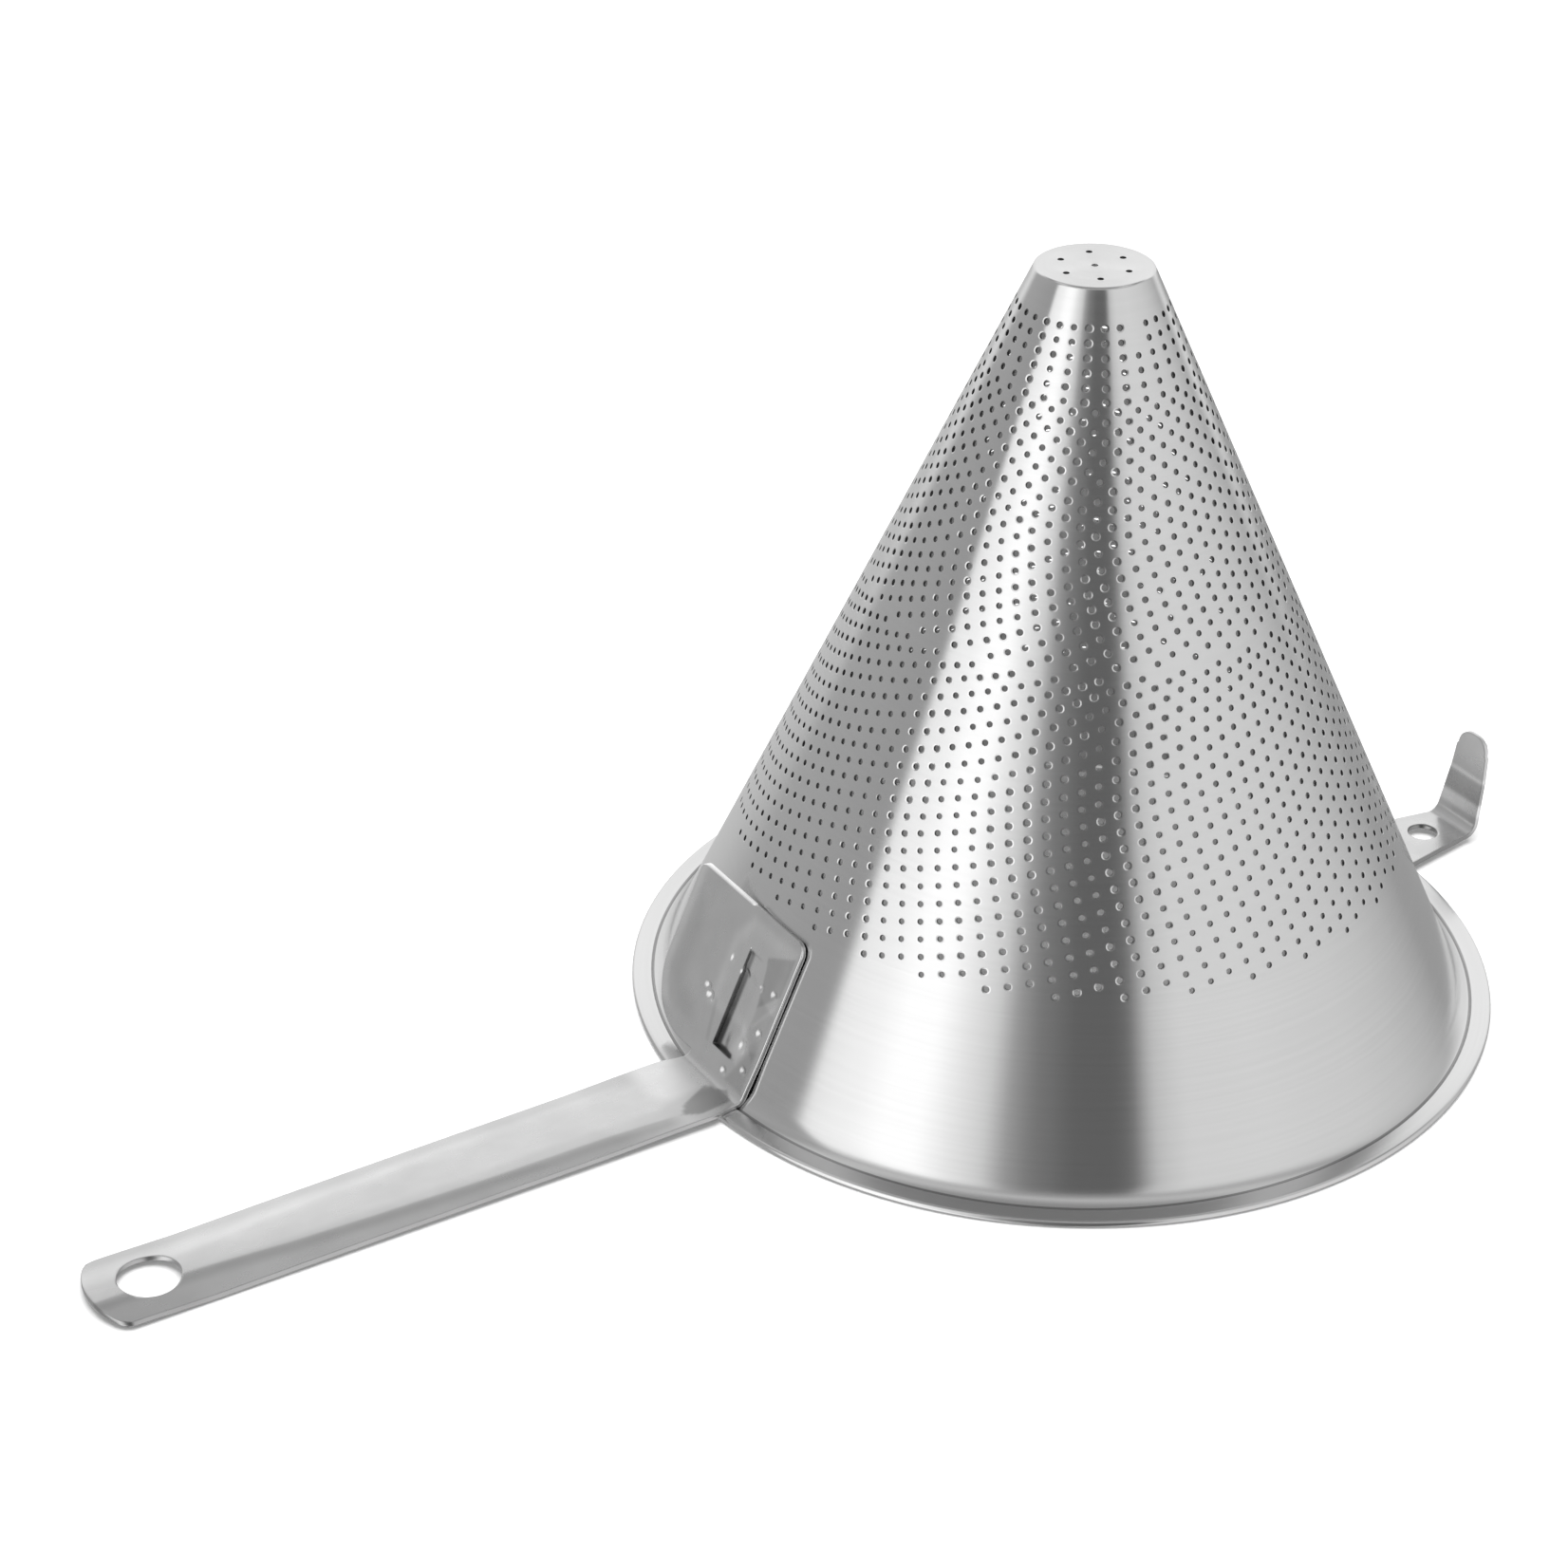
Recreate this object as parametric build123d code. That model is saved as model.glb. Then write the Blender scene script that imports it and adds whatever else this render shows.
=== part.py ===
from build123d import *
from math import atan2, cos, degrees, radians, sin, sqrt, tan
import os

os.makedirs("parts", exist_ok=True)

# A conical strainer that stands upside down on its rim, tip upwards. Sizes in millimetres.
# The cone's axis is vertical, the handle points to -X and the hook to +X.

# The cone body, one drawn sheet with a flat tip and a flange that is folded under itself
rim_radius = 120.0
flange_width = 7.25
cone_height = 211.05
tip_radius = 15.3
body_sheet = 0.8
tip_round = 1.6
foot_round = 3.5
hem_slit = 0.15
hem_width = 4.5

# The tip's punched holes, one in the middle and a ring round it, with four sides each
hole_diameter = 1.7
tip_ring_holes = 6
tip_ring_share = 0.6

# The wall's perforation. The real wall has about three thousand holes of the tip's size. A plain
# grid of larger four-sided openings stands for them, at distances down the wall from its apex,
# with every other ring turned by half a step.
grid_opening = 4.5
grid_columns = 16
grid_rings = 8
grid_start = 51.0
grid_end = 211.0

# The handle, a sheet strip with its long edges folded down and a tab bent up against the cone
handle_sheet = 1.5
handle_length = 170.5
handle_root_half = 14.8
handle_end_half = 13.9
handle_end_arc = 23.0
handle_end_corner = 5.0
hanging_hole = 16.0
hanging_hole_inset = 16.1
crease_root_half = 9.0
crease_end_half = 4.0
fold_end_angle = 9.5
fold_mid_angle = 4.0
fold_mid_share = 0.55
bend_clearance = 0.5

# The tab of the handle, a flat plate that leans with the cone and touches it along one line
tab_top = 47.9
tab_near_edge = 13.5
tab_far_edge = 38.0
tab_near_corner = 4.0
tab_far_corner = 2.5
tab_wing_round = 18.0

# The stiffening rib that is pressed outwards in the tab
rib_width = 19.0
rib_rise = 2.0
rib_offset = 4.5
rib_low = 8.0
rib_high = 42.3

# The hook, a tapered strip turned up at its outer end, which holds the strainer on a pot's rim
hook_sheet = 1.5
hook_root_gap = 0.3
hook_root_half = 13.2
hook_bend_half = 8.4
hook_tip_half = 5.8
hook_length = 27.0
hook_bend_round = 5.0
hook_knee_height = 17.0
hook_knee_round = 12.0
hook_top = 31.8
hook_low_lean = 10.0
hook_high_lean = 5.5
hook_tip_corner = 4.8
hook_hole = 8.6
hook_hole_offset = 13.4

# One overrun serves every cut
overrun = 2.0

# The wall's slope, and the places that the pieces share
foot_radius = rim_radius - flange_width
wall_slope = (foot_radius - tip_radius) / cone_height
wall_lean = degrees(atan2(foot_radius - tip_radius, cone_height))
hem_height = 2 * body_sheet + hem_slit
foot_corner = foot_radius - wall_slope * hem_height
handle_top = hem_height + handle_sheet
hook_face = hem_height + hook_sheet
handle_reach = rim_radius + handle_length
hook_bend_reach = rim_radius + hook_length
hook_hole_reach = rim_radius + hook_hole_offset


def wall_radius(height, depth):
    """The radius of the leaning wall at a height, at a depth inside its outer face."""
    return foot_radius - wall_slope * height - depth / cos(radians(wall_lean))


def flat_ends(corner_height, depth, radius, side):
    """Both ends of the flat that stands for a round where the wall meets a level face: one along the
    wall, one along the face. The flat touches the round at its middle. The side is 1 where the wall
    rises from the face and the face runs outwards, and -1 where the wall falls and it runs inwards."""
    turn = radians(90 - wall_lean)
    run = side * radius * (tan(turn / 2) - tan(turn / 4))
    height = corner_height + run * cos(radians(wall_lean))
    return (wall_radius(height, depth), height), (wall_radius(corner_height, depth) + run, corner_height)


def cone_outline():
    """The sheet beside the axis: down the outside from the tip to the fold, back along the inside.
    The fold and the rounds of the tip and the foot are drawn as flats that touch their arcs."""
    fold_flat = hem_height / (2 + sqrt(2))
    slit_end = rim_radius - body_sheet
    slit_roof = body_sheet + hem_slit
    inner_height = cone_height - body_sheet
    tip_low, tip_high = flat_ends(cone_height, 0, tip_round, -1)
    outer_high, outer_low = flat_ends(hem_height, 0, foot_round, 1)
    inner_high, inner_low = flat_ends(slit_roof, body_sheet, foot_round + body_sheet, 1)
    outline = Polyline(
        (0, cone_height),
        tip_high,
        tip_low,
        outer_high,
        outer_low,
        (rim_radius - fold_flat, hem_height),
        (rim_radius, hem_height - fold_flat),
        (rim_radius, fold_flat),
        (rim_radius - fold_flat, 0),
        (rim_radius - hem_width, 0),
        (rim_radius - hem_width, body_sheet),
        (slit_end, body_sheet),
        (slit_end, slit_roof),
        inner_low,
        inner_high,
        (wall_radius(inner_height, body_sheet), inner_height),
        (0, inner_height),
        close=True,
    )
    return Plane.XZ * make_face(outline)


def wall_punch(down):
    """The tool for one opening at a distance down the wall from its apex. It cuts square through
    the sheet, and its flanks are planes through the cone's axis."""
    lean = radians(wall_lean)
    height = (foot_radius / wall_slope) - down * cos(lean)
    side = Plane.XZ * Pos(down * sin(lean), height) * Rot(0, 0, wall_lean)
    blade = side * Rectangle(2 * (body_sheet + overrun), grid_opening)
    turn = degrees(grid_opening / (down * sin(lean)))
    return Rot(0, 0, -turn / 2) * revolve(blade, Axis.Z, revolution_arc=turn)


def cone_body():
    """The outline turned once round the axis, with the tip's holes and the wall's grid cut out."""
    body = revolve(cone_outline(), Axis.Z)
    tip_punch = Pos(0, 0, cone_height) * Box(hole_diameter, hole_diameter, 2 * (body_sheet + overrun))
    tools = [tip_punch]
    for hole in PolarLocations(tip_ring_share * tip_radius, tip_ring_holes):
        tools.append(hole * tip_punch)
    pitch = (grid_end - grid_start) / (grid_rings - 1)
    step = 360 / grid_columns
    for ring in range(grid_rings):
        tool = wall_punch(grid_start + ring * pitch)
        for count in range(grid_columns):
            tools.append(Rot(0, 0, step * (count + ring % 2 / 2)) * tool)
    return body - tools


def fold_section(reach, crease_half, fold_angle):
    """A cross-section of the strip: a flat middle and two edges that slope down."""
    half = handle_root_half + overrun
    drop = (half - crease_half) * tan(radians(fold_angle))
    top = [(-half, -drop), (-crease_half, 0), (crease_half, 0), (half, -drop)]
    low = [(y, z - handle_sheet) for y, z in reversed(top)]
    plane = Plane(origin=(-reach, 0, handle_top), x_dir=(0, -1, 0), z_dir=(-1, 0, 0))
    return plane * make_face(Polyline(*top, *low, close=True))


def handle_outline(root):
    """The strip from above: two long sides and a shallow arc with rounded corners at its end."""
    corner = handle_reach - handle_end_arc + sqrt(handle_end_arc**2 - handle_end_half**2)
    with BuildSketch() as outline:
        with BuildLine():
            Polyline((-root, handle_root_half), (-corner, handle_end_half))
            ThreePointArc((-corner, handle_end_half), (-handle_reach, 0), (-corner, -handle_end_half))
            Polyline((-corner, -handle_end_half), (-root, -handle_root_half), (-root, handle_root_half))
        make_face()
        fillet(outline.vertices().group_by(Axis.X)[0], handle_end_corner)
    return outline.sketch


def tab_plane():
    """The tab's inner face: its origin on the foot's corner, its second axis up the wall."""
    lean = radians(wall_lean)
    return Plane(origin=(-foot_corner, 0, hem_height), x_dir=(0, -1, 0), z_dir=(-cos(lean), 0, sin(lean)))


def bent_sheet(points, rounds, sheet, half):
    """A bent sheet from the side, carried across: one face's line and the same line one sheet
    to its left, with each corner moved along the middle of its two sides."""
    line = [Vector(*point) for point in points]
    runs = [(end - start).normalized() for start, end in zip(line, line[1:])]
    sides = [Vector(-run.Y, run.X) for run in runs]
    inner = [point + (near + far) * (sheet / (1 + near.dot(far)))
             for point, near, far in zip(line[1:-1], sides, sides[1:])]
    shifted = [line[0] + sides[0] * sheet, *inner, line[-1] + sides[-1] * sheet]
    turns = [1 if run.cross(following).Z > 0 else -1 for run, following in zip(runs, runs[1:])]
    with BuildPart() as strip:
        with BuildSketch(Plane.XZ):
            with BuildLine():
                FilletPolyline(*line, radius=rounds)
                FilletPolyline(*shifted, radius=[size - turn * sheet for size, turn in zip(rounds, turns)])
                Line(line[0], shifted[0])
                Line(line[-1], shifted[-1])
            make_face()
        extrude(amount=half, both=True)
    return strip.part


def bend_strip(root, rise):
    """The sheet's turn from the strip to the tab, a little way up the tab."""
    lean = radians(wall_lean)
    length = rise + overrun
    end = (-foot_corner + length * sin(lean), hem_height + length * cos(lean))
    points = [(-root, hem_height), (-foot_corner, hem_height), end]
    return bent_sheet(points, [foot_round + bend_clearance], handle_sheet, tab_near_edge)


def handle():
    """The folded strip, its bend and the tab with its pressed rib, all of one sheet."""
    turn = radians(90 - wall_lean)
    rise = (foot_round + bend_clearance) * tan(turn / 2)
    root = foot_corner + rise + overrun
    fold_start = rim_radius + hem_width
    mid_reach = fold_start + fold_mid_share * (handle_reach - fold_start)
    mid_crease = crease_root_half + fold_mid_share * (crease_end_half - crease_root_half)
    sections = [
        fold_section(root, crease_root_half, 0),
        fold_section(fold_start, crease_root_half, 0),
        fold_section(mid_reach, mid_crease, fold_mid_angle),
        fold_section(handle_reach + overrun, crease_end_half, fold_end_angle),
    ]
    strip = loft(sections, ruled=True)
    strip &= extrude(handle_outline(root), amount=handle_top + overrun, both=True)
    hole = Pos(-(handle_reach - hanging_hole_inset), 0, handle_top) * Cylinder(hanging_hole / 2, 4 * handle_top)
    strip -= hole

    plane = tab_plane()
    wide = tab_near_edge + tab_far_edge
    with BuildSketch() as outline:
        with Locations(((tab_near_edge - tab_far_edge) / 2, (tab_top + rise) / 2)):
            Rectangle(wide, tab_top - rise)
        high = outline.vertices().group_by(Axis.Y)[-1].sort_by(Axis.X)
        fillet(high[0], tab_far_corner)
        high = outline.vertices().group_by(Axis.Y)[-1].sort_by(Axis.X)
        fillet(high[-1], tab_near_corner)
        low = outline.vertices().group_by(Axis.Y)[0].sort_by(Axis.X)
        fillet(low[0], tab_wing_round)
    tab = extrude(plane * outline.sketch, amount=handle_sheet)

    rib_radius = ((rib_width / 2) ** 2 + rib_rise**2) / (2 * rib_rise)
    depth = rib_radius - rib_rise - handle_sheet
    low_end = rib_low + rib_width / 2
    high_end = rib_high - rib_width / 2

    def rib_form(radius):
        """A capsule along the tab: a cylinder between two balls, its middle line behind the plate."""
        line = Pos(-rib_offset, (low_end + high_end) / 2, -depth)
        core = line * Rot(90, 0, 0) * Cylinder(radius, high_end - low_end)
        for end in (low_end, high_end):
            core += Pos(-rib_offset, end, -depth) * Sphere(radius)
        return plane * core

    face = Rectangle(wide * 2, tab_top * 2)
    front = extrude(plane * Pos(0, tab_top / 2) * face, amount=rib_rise + handle_sheet + overrun)
    tab += rib_form(rib_radius) & front
    tab -= rib_form(rib_radius - handle_sheet)
    return strip + bend_strip(root, rise) + tab


def hook():
    """The side profile carried across, trimmed to its outline from above and from the front."""
    root = foot_corner + foot_round * tan(radians(90 - wall_lean) / 2) + hook_root_gap
    base = root - hook_root_half
    knee_reach = hook_bend_reach + hook_knee_height * tan(radians(hook_low_lean))
    knee = hem_height + hook_knee_height
    end = hook_top + overrun
    end_reach = knee_reach + (end - knee) * tan(radians(hook_high_lean))
    points = [(base, hem_height), (hook_bend_reach, hem_height), (knee_reach, knee), (end_reach, end)]
    strip = bent_sheet(points, [hook_bend_round, hook_knee_round], hook_sheet, hook_root_half + overrun)

    bend_start = hook_bend_reach - hook_bend_round
    flank = [(root, hook_root_half), (bend_start, hook_bend_half), (end_reach + overrun, hook_bend_half)]
    outline = [(base, hook_root_half), *flank]
    mirrored = [(x, -y) for x, y in reversed(outline)]
    strip &= extrude(make_face(Polyline(*outline, *mirrored, close=True)), amount=end + overrun)

    plane = Plane(origin=(base, 0, 0), x_dir=(0, 1, 0), z_dir=(1, 0, 0))
    taper = make_face(Polyline((-hook_bend_half, hook_face), (hook_bend_half, hook_face),
                               (hook_tip_half, hook_top), (-hook_tip_half, hook_top), close=True))
    taper = fillet(taper.vertices().group_by(Axis.Y)[-1], hook_tip_corner)
    floor = Pos(0, hook_face / 2 + overrun / 4) * Rectangle(4 * hook_root_half, hook_face + overrun / 2)
    strip &= extrude(plane * (taper + floor), amount=end_reach)

    strip -= Cylinder(root, 2 * end)
    strip -= Pos(hook_hole_reach, 0, hook_face) * Cylinder(hook_hole / 2, 4 * hook_face)
    return strip


# The origin is the middle of the whole strainer's length, on the floor under the rim
hook_rise = hook_top - hem_height - hook_knee_height
hook_out = hook_knee_height * tan(radians(hook_low_lean)) + hook_rise * tan(radians(hook_high_lean))
hook_reach = hook_bend_reach + hook_out
axis_x = (handle_reach - hook_reach) / 2

for name, make_piece in {"cone_body": cone_body, "handle": handle, "hook": hook}.items():
    export_step(Pos(axis_x, 0, 0) * make_piece(), f"parts/{name}.step")
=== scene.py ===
import math
import bpy
import numpy as np
from mathutils import Matrix, Vector


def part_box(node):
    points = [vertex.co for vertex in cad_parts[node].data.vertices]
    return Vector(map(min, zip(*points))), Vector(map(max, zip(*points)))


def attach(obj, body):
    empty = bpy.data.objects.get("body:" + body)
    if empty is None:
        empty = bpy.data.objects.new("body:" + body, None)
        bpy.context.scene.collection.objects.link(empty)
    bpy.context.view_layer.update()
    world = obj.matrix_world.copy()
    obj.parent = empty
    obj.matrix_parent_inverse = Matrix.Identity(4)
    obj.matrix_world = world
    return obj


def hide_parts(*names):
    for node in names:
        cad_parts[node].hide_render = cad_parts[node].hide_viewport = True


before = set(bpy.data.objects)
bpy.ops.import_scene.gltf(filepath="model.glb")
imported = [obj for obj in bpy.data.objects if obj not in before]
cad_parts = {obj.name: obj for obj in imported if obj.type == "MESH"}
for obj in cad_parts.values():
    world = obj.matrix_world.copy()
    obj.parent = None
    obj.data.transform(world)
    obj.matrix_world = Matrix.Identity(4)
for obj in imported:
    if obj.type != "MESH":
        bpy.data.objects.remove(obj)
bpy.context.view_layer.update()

# The studio: a plain white floor under the rim, white panels round the strainer with a dark gap
# beside the camera, and a grey room beyond them. The brushed steel shows them as long bands. The
# camera looks down on the strainer from the handle's near side.
axis_x = sum(corner.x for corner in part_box("cone_body")) / 2
camera_distance = 0.99032
camera_azimuth = math.radians(-127.2)
camera_elevation = math.radians(33.0206)
camera_pan = math.radians(-4.6365)
camera_tilt = math.radians(-2.7676)
camera_roll = math.radians(-2.964)
focal_pixels = 3683.94
photo_pixels = 1652
sensor_mm = 36.0


def set_out(name, data):
    """An object that stands in the scene at the origin."""
    made = bpy.data.objects.new(name, data)
    bpy.context.scene.collection.objects.link(made)
    return made


to_camera = Vector((
    math.cos(camera_elevation) * math.cos(camera_azimuth),
    math.cos(camera_elevation) * math.sin(camera_azimuth),
    math.sin(camera_elevation),
))
right = Vector((-math.sin(camera_azimuth), math.cos(camera_azimuth), 0))
up = to_camera.cross(right)
aim = (
    Matrix.Rotation(camera_roll, 3, "Z")
    @ Matrix.Rotation(camera_pan, 3, "Y")
    @ Matrix.Rotation(camera_tilt, 3, "X")
    @ Matrix((right, up, to_camera))
)
camera_data = bpy.data.cameras.new("camera")
camera_data.sensor_width = sensor_mm
camera_data.lens = sensor_mm * focal_pixels / photo_pixels
camera = set_out("camera", camera_data)
camera_stand = Matrix.Translation(to_camera * camera_distance + Vector((axis_x, 0, 0)))
camera.matrix_world = camera_stand @ aim.transposed().to_4x4()
bpy.context.scene.camera = camera
bpy.context.scene.view_settings.view_transform = "Standard"

# The panels' light round the strainer, at turns from the camera's side in degrees, anticlockwise
# from above, and the light behind the strainer at heights in degrees above the floor's horizon
panel_light = [
    (-180, 0.62), (-146, 0.61), (-130, 0.51), (-122, 0.48), (-100, 0.46), (-78, 0.42), (-71, 0.42),
    (-67.5, 1.18), (-55, 1.28), (-46, 1.46), (-36, 1.46), (-27, 1.13), (-18, 0.86), (-12, 0.43),
    (-5, 0.25), (0, 0.21), (6, 0.155), (18, 0.15), (23, 0.20), (29, 0.72), (38, 0.89), (60, 0.90),
    (90, 0.82), (107, 0.73), (115, 0.66), (123, 0.59), (130, 0.49), (138, 0.38), (180, 0.37),
]
back_light = [
    (-90, 0.50), (-12, 0.58), (-7, 0.92), (0, 0.92), (20, 1.05), (32, 1.16), (36, 1.05),
    (40, 0.74), (43, 0.44), (50, 0.34), (55, 0.75), (62, 0.75), (68, 0.32), (90, 0.30),
]
# Between which angles the light behind takes over: in turn, in height at the back, and high up
back_turn = (124, 140)
back_rise = (-11, -6)
high_from = (36, 50)

world = bpy.data.worlds.new("studio")
bpy.context.scene.world = world
world.use_nodes = True
sky = world.node_tree
sky.nodes.clear()


def add_node(tree, kind, inputs=(), **settings):
    """A node with its settings. Its inputs, by name or by place, are even values or the outputs of
    other nodes."""
    node = tree.nodes.new("ShaderNode" + kind)
    for setting, value in settings.items():
        setattr(node, setting, value)
    for place, value in dict(inputs).items():
        if isinstance(value, bpy.types.NodeSocket):
            tree.links.new(value, node.inputs[place])
        else:
            node.inputs[place].default_value = value
    return node


def sky_math(operation, *inputs):
    """One arithmetic node of the studio's light."""
    return add_node(sky, "Math", enumerate(inputs), operation=operation).outputs[0]


def light_table(angle, stops, low, high):
    """Light as a function of an angle in degrees: straight runs between the table's stops."""
    share = sky_math("DIVIDE", sky_math("SUBTRACT", angle, low), high - low)
    ramp = add_node(sky, "ValToRGB", {"Fac": share})
    elements = ramp.color_ramp.elements
    elements.remove(elements[1])
    for number, (stop, light) in enumerate(stops):
        place = (stop - low) / (high - low)
        element = elements[0] if number == 0 else elements.new(place)
        element.position = place
        element.color = (light, light, light, 1)
    return ramp.outputs["Color"]


def soft_step(value, start, end):
    """Nought below the start, one above the end, and a smooth change between them."""
    inputs = {"Value": value, "From Min": start, "From Max": end}
    return add_node(sky, "MapRange", inputs, interpolation_type="SMOOTHSTEP").outputs["Result"]


direction = add_node(sky, "TexCoord").outputs["Generated"]
turned = add_node(sky, "Mapping", {"Vector": direction, "Rotation": (0, 0, -camera_azimuth)})
way = add_node(sky, "SeparateXYZ", {"Vector": turned.outputs["Vector"]}).outputs
turn_angle = sky_math("DEGREES", sky_math("ARCTAN2", way["Y"], way["X"]))
rise_angle = sky_math("DEGREES", sky_math("ARCSINE", way["Z"]))
from_side = soft_step(sky_math("ABSOLUTE", turn_angle), *back_turn)
behind = sky_math("MULTIPLY", from_side, soft_step(rise_angle, *back_rise))
room = add_node(sky, "MixRGB", {
    "Fac": sky_math("MAXIMUM", behind, soft_step(rise_angle, *high_from)),
    "Color1": light_table(turn_angle, panel_light, -180, 180),
    "Color2": light_table(rise_angle, back_light, -90, 90),
})
room_light = add_node(sky, "Background", {"Color": room.outputs["Color"]})
backdrop_light = add_node(sky, "Background", {"Color": (1, 1, 1, 1)})
chosen = add_node(sky, "MixShader", {
    "Fac": add_node(sky, "LightPath").outputs["Is Camera Ray"],
    1: room_light.outputs["Background"],
    2: backdrop_light.outputs["Background"],
})
add_node(sky, "OutputWorld", {"Surface": chosen.outputs["Shader"]})


def new_finish(name, values):
    """A material and its surface shader, whose sockets have these even values."""
    finish = bpy.data.materials.new(name)
    finish.use_nodes = True
    surface = finish.node_tree.nodes["Principled BSDF"]
    for socket, value in values.items():
        surface.inputs[socket].default_value = value
    return finish, surface


def lay_floor(name, outline, glow):
    """A level floor of pale matt paint inside an outline, which may glow a little."""
    mesh = bpy.data.meshes.new(name)
    mesh.from_pydata(outline, [], [range(len(outline))])
    values = {"Base Color": (0.9, 0.9, 0.9, 1), "Roughness": 0.9, "Emission Strength": glow}
    mesh.materials.append(new_finish(name + "_paint", values)[0])
    return set_out(name, mesh)


floor_half = 3.0
floor_drop = 0.0002
floor_corners = ((-1, -1), (1, -1), (1, 1), (-1, 1))
floor = lay_floor("floor", [(x * floor_half, y * floor_half, -floor_drop) for x, y in floor_corners], 0)
floor.visible_glossy = False

# The floor inside the strainer's mouth, which is dark, because little light comes through the holes.
# Unlike the rest of the floor it shows in the steel, so the holes look into a dark cone. It glows a little,
# which is painted light.
mouth_radius = 0.112
mouth_painted_glow = 0.13
mouth_floor = lay_floor("mouth_floor", [
    (axis_x + mouth_radius * math.cos(turn), mouth_radius * math.sin(turn), -floor_drop / 2)
    for turn in np.linspace(0, 2 * math.pi, 97)[:-1]], mouth_painted_glow)

lamp_data = bpy.data.lights.new("overhead_panel", "AREA")
lamp_data.shape = "DISK"
lamp_data.size = 1.8
lamp_data.energy = 38
lamp_height = 1.7
lamp = set_out("overhead_panel", lamp_data)
lamp.location = (axis_x, 0, lamp_height)
lamp.visible_glossy = False

# The cone body: one drawn steel sheet, brushed round and round, with a flat tip and a flange that
# is folded under itself. About three thousand holes are punched in 32 strips from outside, in
# columns that wander as the strips widen: one, then two, then three holes side by side.
mm = 0.001
rim_radius = (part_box("cone_body")[1].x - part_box("cone_body")[0].x) / 2 / mm
cone_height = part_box("cone_body")[1].z / mm
flange_width = 7.25
tip_radius = 15.3
sheet = 0.8
tip_round = 1.0
flare_radius = 10.0
flare_turn = 34.0
groove_width = 0.9
groove_depth = 0.25
hem_slit = 0.15
hem_width = 4.5
foot_radius = rim_radius - flange_width
wall_lean = math.atan2(foot_radius - tip_radius, cone_height)
apex = foot_radius / math.tan(wall_lean)
hem_height = 2 * sheet + hem_slit
slit_roof = sheet + hem_slit

strips = 32
strip_turn = 2 * math.pi / strips
strip_start = math.radians(-37.2)
segments = 6
around = strips * segments
ring_step = 2 * math.pi / around
punch_radius = 0.85
burr_radius = 0.80
dimple_radius = 1.22
dimple_depth = 0.06
# Painted shade: the holes' sheared walls are painted darker, for the shade inside the holes
hole_wall_painted_shade = 0.4
# Painted shade: the groove at the wall's foot is painted darker, for the shade in the crease
groove_painted_shade = 0.5
weld_step = 0.002
cone_crease = 12

# How much the dimples' depths and the holes' sizes differ, and the waves over rows, strips and
# columns that they follow, which leave no order to be seen
depth_spread, depth_waves = 0.35, (12.9, 78.2, 37.7)
size_spread, size_waves = 0.04, (41.3, 17.1, 5.9)

# Where the rows lie down the wall, as shares of the rim's radius: the first and last rows of each
# zone, and a few between. Half a row is left over each zone and under it.
few_rows, few_slants = (-0.5, 4.5), (0.3725, 0.5270)
some_rows, some_slants = (-0.5, 0, 5, 10, 16), (0.5290, 0.5409, 0.7452, 0.9232, 1.1060)
many_rows, many_slants = (-0.5, 0, 1, 6, 12, 18.5), (1.1080, 1.1185, 1.1516, 1.3523, 1.5683, 1.8050)
# How far the columns have wandered round the cone, in strips, at slants in the same shares
wander_slants = (0.38, 0.56, 0.63, 0.73, 0.82, 0.92, 1.02, 1.11, 1.16, 1.24, 1.38, 1.50, 1.62, 1.80)
wander_shares = (0.86, 0.87, 0.82, 0.53, 0.47, 0.72, 1.05, 1.61, 1.45, 1.27, 1.26, 1.40, 1.67, 2.00)


def wander(slant):
    """How far the columns have wandered at a slant, in strips."""
    return np.interp(slant / rim_radius, wander_slants, wander_shares)


def stacked(*parts):
    """Points, or marks on the sheet, from their parts, each spread over the others' shape."""
    return np.stack(np.broadcast_arrays(*parts), axis=-1)


def on_wall(turn, slant, depth):
    """The point under the wall's outer face at a turn round the axis and a distance down the wall
    from its apex: out by the slant times the lean's sine, down by the slant times its cosine, and
    both moved inwards by the depth, square to the wall."""
    radius = slant * np.sin(wall_lean) - depth * np.cos(wall_lean)
    height = apex - slant * np.cos(wall_lean) - depth * np.sin(wall_lean)
    return stacked(radius * np.cos(turn), radius * np.sin(turn), height)


def on_tip(turn, radius, depth):
    """The point under the tip disc's outer face, at a turn and a distance from the axis."""
    return stacked(radius * np.cos(turn), radius * np.sin(turn), cone_height - depth)


def one_of_each(points, step):
    """Which points to keep, and each point's place among them, once those that round to the same
    steps are one."""
    steps = np.round(points / step).astype(np.int64)
    _, first, place = np.unique(steps, axis=0, return_index=True, return_inverse=True)
    return first, place.reshape(-1)


def steel_piece(name, points, faces, crease, material, domain, tones):
    """A piece from points in millimetres round the cone's axis, smooth but for edges that turn by more than
    the crease's degrees. How bright it is painted, painted light and shade included, goes to its attribute
    "tone"."""
    mesh = bpy.data.meshes.new(name)
    mesh.from_pydata(points * mm + [axis_x, 0, 0], [], faces.tolist())
    mesh.shade_smooth()
    mesh.set_sharp_from_angle(angle=math.radians(crease))
    finish = mesh.attributes.new("tone", "FLOAT", domain)
    finish.data.foreach_set("value", tones.astype(np.float32))
    mesh.materials.append(material)
    return set_out(name, mesh)


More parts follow.
